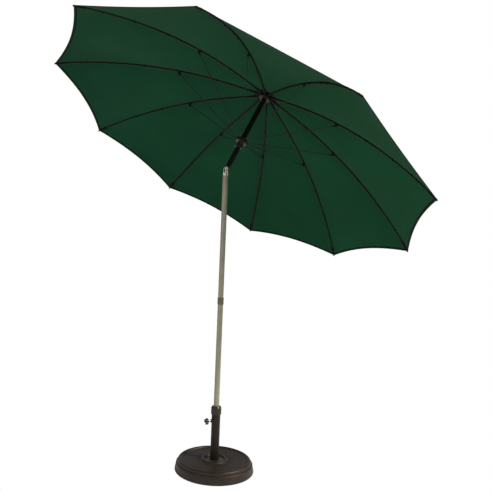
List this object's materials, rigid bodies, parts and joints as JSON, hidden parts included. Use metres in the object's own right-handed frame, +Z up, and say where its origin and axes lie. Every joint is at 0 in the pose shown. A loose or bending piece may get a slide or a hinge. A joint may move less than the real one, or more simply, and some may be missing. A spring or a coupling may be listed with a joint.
{
  "type": "patio umbrella with base",
  "caption": "Tilting garden parasol with a scalloped fabric canopy on curved ribs, a two-piece mast and a round weighted base with a clamp.",
  "frame": {"origin": "middle of the base's flat underside", "axes": "+Z up along the mast, +X the way the tilted canopy leans, +Y along the tilt hinge's pin"},
  "size_m": [2.0431, 2.3582, 2.4043],
  "materials": {
    "cast_composite": "cast composite, painted dark bronze with a woven relief on top",
    "bronze_paint": "satin bronze powder coat",
    "dark_paint": "satin black-brown paint",
    "ferrule_metal": "satin dark bronze",
    "black_plastic": "moulded black plastic",
    "zinc_steel": "zinc plated",
    "spring_steel": "bright spring steel",
    "nickel_casting": "die casting, satin nickel",
    "canopy_fabric": "woven polyester canopy cloth, dark green",
    "patch_fabric": "black woven reinforcement"
  },
  "bodies": {
    "base": {"base_plate": "cast_composite", "base_tube": "bronze_paint", "base_collar": "black_plastic", "base_bush": "black_plastic", "screw_boss": "bronze_paint"},
    "clamp_stem": {"clamp_screw": "zinc_steel"},
    "clamp_handle": {"clamp_knob": "black_plastic"},
    "mast_foot": {"lower_mast_plug": "black_plastic"},
    "mast": {"lower_mast": "bronze_paint", "mast_ferrule": "ferrule_metal", "mast_spigot": "zinc_steel", "snap_spring": "spring_steel", "upper_mast": "bronze_paint", "tilt_fork": "nickel_casting", "tilt_pin": "zinc_steel", "tilt_spring": "spring_steel"},
    "snap": {"snap_button": "zinc_steel"},
    "tilt_release": {"tilt_button": "black_plastic"},
    "head": {"tilt_tongue": "bronze_paint", "head_tube": "dark_paint", "stop_pin": "zinc_steel", "crown_rivet": "zinc_steel", "crown_hub": "black_plastic", "crown_wire": "zinc_steel", "crown_patch": "patch_fabric", "top_plug": "black_plastic", "finial": "black_plastic"},
    "runner": {"runner_hub": "black_plastic", "runner_wire": "zinc_steel"},
    "rib_01": {"rib_01": "dark_paint", "canopy_panel_01": "canopy_fabric"},
    "strut_01": {"strut_01": "dark_paint"},
    "rib_02": {"rib_02": "dark_paint", "canopy_panel_02": "canopy_fabric"},
    "strut_02": {"strut_02": "dark_paint"},
    "rib_03": {"rib_03": "dark_paint", "canopy_panel_03": "canopy_fabric"},
    "strut_03": {"strut_03": "dark_paint"},
    "rib_04": {"rib_04": "dark_paint", "canopy_panel_04": "canopy_fabric"},
    "strut_04": {"strut_04": "dark_paint"},
    "rib_05": {"rib_05": "dark_paint", "canopy_panel_05": "canopy_fabric"},
    "strut_05": {"strut_05": "dark_paint"},
    "rib_06": {"rib_06": "dark_paint", "canopy_panel_06": "canopy_fabric"},
    "strut_06": {"strut_06": "dark_paint"},
    "rib_07": {"rib_07": "dark_paint", "canopy_panel_07": "canopy_fabric"},
    "strut_07": {"strut_07": "dark_paint"},
    "rib_08": {"rib_08": "dark_paint", "canopy_panel_08": "canopy_fabric"},
    "strut_08": {"strut_08": "dark_paint"},
    "rib_09": {"rib_09": "dark_paint", "canopy_panel_09": "canopy_fabric"},
    "strut_09": {"strut_09": "dark_paint"},
    "rib_10": {"rib_10": "dark_paint", "canopy_panel_10": "canopy_fabric"},
    "strut_10": {"strut_10": "dark_paint"}
  },
  "joints": [
    {"name": "clamp_feed", "type": "slide", "parent": "base", "child": "clamp_stem", "axis": [-1, 0, 0], "range_m": [0, 0.003]},
    {"name": "clamp_turn", "type": "hinge", "parent": "clamp_stem", "child": "clamp_handle", "pos_m": [0, 0, 0.287], "axis": [-1, 0, 0], "range_deg": [0, 720]},
    {"name": "mast_height", "type": "slide", "parent": "base", "child": "mast_foot", "axis": [0, 0, 1], "range_m": [0, 0.24]},
    {"name": "mast_turn", "type": "hinge", "parent": "mast_foot", "child": "mast", "pos_m": [0, 0, 0.5], "axis": [0, 0, 1], "range_deg": [-180, 180]},
    {"name": "snap_press", "type": "slide", "parent": "mast", "child": "snap", "axis": [1, 0, 0], "range_m": [0, 0.0035], "stiffness_N_per_m": 900, "springref_m": -0.004, "deforming": ["snap_spring"]},
    {"name": "tilt_release_press", "type": "slide", "parent": "mast", "child": "tilt_release", "axis": [0, 1, 0], "range_m": [0, 0.003], "stiffness_N_per_m": 900, "springref_m": -0.004, "deforming": ["tilt_spring"]},
    {"name": "tilt", "type": "hinge", "parent": "mast", "child": "head", "pos_m": [0, 0, 1.75], "axis": [0, 1, 0], "range_deg": [-28.1, 0]},
    {"name": "runner_slide", "type": "slide", "parent": "head", "child": "runner", "axis": [-0.471, 0, -0.8821], "range_m": [0, 0.128]},
    {"name": "rib_hinge_01", "type": "hinge", "parent": "head", "child": "rib_01", "pos_m": [0.27942, 0.00596, 2.21523], "axis": [-0.1879, 0.977, 0.1003], "range_deg": [0, 8.62], "deforming": ["canopy_panel_01"]},
    {"name": "strut_hinge_01", "type": "hinge", "parent": "runner", "child": "strut_01", "pos_m": [0.12372, 0.00543, 1.9288], "axis": [-0.1879, 0.977, 0.1003], "range_deg": [-6.42, 0]},
    {"name": "rib_hinge_02", "type": "hinge", "parent": "head", "child": "rib_02", "pos_m": [0.27172, 0.02091, 2.21934], "axis": [-0.6586, 0.6652, 0.3517], "range_deg": [0, 8.62], "deforming": ["canopy_panel_02"]},
    {"name": "strut_hinge_02", "type": "hinge", "parent": "runner", "child": "strut_02", "pos_m": [0.1167, 0.01904, 1.93255], "axis": [-0.6586, 0.6652, 0.3517], "range_deg": [-6.42, 0]},
    {"name": "rib_hinge_03", "type": "hinge", "parent": "head", "child": "rib_03", "pos_m": [0.25774, 0.02786, 2.2268], "axis": [-0.8778, 0.0993, 0.4687], "range_deg": [0, 8.62], "deforming": ["canopy_panel_03"]},
    {"name": "strut_hinge_03", "type": "hinge", "parent": "runner", "child": "strut_03", "pos_m": [0.10397, 0.02537, 1.93935], "axis": [-0.8778, 0.0993, 0.4687], "range_deg": [-6.42, 0]},
    {"name": "rib_hinge_04", "type": "hinge", "parent": "head", "child": "rib_04", "pos_m": [0.24283, 0.02417, 2.23477], "axis": [-0.7616, -0.5045, 0.4067], "range_deg": [0, 8.62], "deforming": ["canopy_panel_04"]},
    {"name": "strut_hinge_04", "type": "hinge", "parent": "runner", "child": "strut_04", "pos_m": [0.09039, 0.02202, 1.9466], "axis": [-0.7616, -0.5045, 0.4067], "range_deg": [-6.42, 0]},
    {"name": "rib_hinge_05", "type": "hinge", "parent": "head", "child": "rib_05", "pos_m": [0.23267, 0.01125, 2.24019], "axis": [-0.3546, -0.9157, 0.1893], "range_deg": [0, 8.62], "deforming": ["canopy_panel_05"]},
    {"name": "strut_hinge_05", "type": "hinge", "parent": "runner", "child": "strut_05", "pos_m": [0.08114, 0.01025, 1.95154], "axis": [-0.3546, -0.9157, 0.1893], "range_deg": [-6.42, 0]},
    {"name": "rib_hinge_06", "type": "hinge", "parent": "head", "child": "rib_06", "pos_m": [0.23116, -0.00596, 2.241], "axis": [0.1879, -0.977, -0.1003], "range_deg": [0, 8.62], "deforming": ["canopy_panel_06"]},
    {"name": "strut_hinge_06", "type": "hinge", "parent": "runner", "child": "strut_06", "pos_m": [0.07976, -0.00543, 1.95227], "axis": [0.1879, -0.977, -0.1003], "range_deg": [-6.42, 0]},
    {"name": "rib_hinge_07", "type": "hinge", "parent": "head", "child": "rib_07", "pos_m": [0.23886, -0.02091, 2.23689], "axis": [0.6586, -0.6652, -0.3517], "range_deg": [0, 8.62], "deforming": ["canopy_panel_07"]},
    {"name": "strut_hinge_07", "type": "hinge", "parent": "runner", "child": "strut_07", "pos_m": [0.08678, -0.01904, 1.94853], "axis": [0.6586, -0.6652, -0.3517], "range_deg": [-6.42, 0]},
    {"name": "rib_hinge_08", "type": "hinge", "parent": "head", "child": "rib_08", "pos_m": [0.25283, -0.02786, 2.22942], "axis": [0.8778, -0.0993, -0.4687], "range_deg": [0, 8.62], "deforming": ["canopy_panel_08"]},
    {"name": "strut_hinge_08", "type": "hinge", "parent": "runner", "child": "strut_08", "pos_m": [0.0995, -0.02537, 1.94173], "axis": [0.8778, -0.0993, -0.4687], "range_deg": [-6.42, 0]},
    {"name": "rib_hinge_09", "type": "hinge", "parent": "head", "child": "rib_09", "pos_m": [0.26775, -0.02417, 2.22146], "axis": [0.7616, 0.5045, -0.4067], "range_deg": [0, 8.62], "deforming": ["canopy_panel_09"]},
    {"name": "strut_hinge_09", "type": "hinge", "parent": "runner", "child": "strut_09", "pos_m": [0.11309, -0.02202, 1.93448], "axis": [0.7616, 0.5045, -0.4067], "range_deg": [-6.42, 0]},
    {"name": "rib_hinge_10", "type": "hinge", "parent": "head", "child": "rib_10", "pos_m": [0.27791, -0.01125, 2.21604], "axis": [0.3546, 0.9157, -0.1893], "range_deg": [0, 8.62], "deforming": ["canopy_panel_10"]},
    {"name": "strut_hinge_10", "type": "hinge", "parent": "runner", "child": "strut_10", "pos_m": [0.12234, -0.01025, 1.92954], "axis": [0.3546, 0.9157, -0.1893], "range_deg": [-6.42, 0]}
  ],
  "couplings": [
    {"joint": "clamp_turn", "follows": "clamp_feed", "rad_per_m": 4188.8},
    {"joint": "rib_hinge_01", "follows": "runner_slide", "rad_per_m": 1.1738},
    {"joint": "strut_hinge_01", "follows": "runner_slide", "rad_per_m": -0.8745},
    {"joint": "rib_hinge_02", "follows": "runner_slide", "rad_per_m": 1.1738},
    {"joint": "strut_hinge_02", "follows": "runner_slide", "rad_per_m": -0.8745},
    {"joint": "rib_hinge_03", "follows": "runner_slide", "rad_per_m": 1.1738},
    {"joint": "strut_hinge_03", "follows": "runner_slide", "rad_per_m": -0.8745},
    {"joint": "rib_hinge_04", "follows": "runner_slide", "rad_per_m": 1.1738},
    {"joint": "strut_hinge_04", "follows": "runner_slide", "rad_per_m": -0.8745},
    {"joint": "rib_hinge_05", "follows": "runner_slide", "rad_per_m": 1.1738},
    {"joint": "strut_hinge_05", "follows": "runner_slide", "rad_per_m": -0.8745},
    {"joint": "rib_hinge_06", "follows": "runner_slide", "rad_per_m": 1.1738},
    {"joint": "strut_hinge_06", "follows": "runner_slide", "rad_per_m": -0.8745},
    {"joint": "rib_hinge_07", "follows": "runner_slide", "rad_per_m": 1.1738},
    {"joint": "strut_hinge_07", "follows": "runner_slide", "rad_per_m": -0.8745},
    {"joint": "rib_hinge_08", "follows": "runner_slide", "rad_per_m": 1.1738},
    {"joint": "strut_hinge_08", "follows": "runner_slide", "rad_per_m": -0.8745},
    {"joint": "rib_hinge_09", "follows": "runner_slide", "rad_per_m": 1.1738},
    {"joint": "strut_hinge_09", "follows": "runner_slide", "rad_per_m": -0.8745},
    {"joint": "rib_hinge_10", "follows": "runner_slide", "rad_per_m": 1.1738},
    {"joint": "strut_hinge_10", "follows": "runner_slide", "rad_per_m": -0.8745}
  ]
}
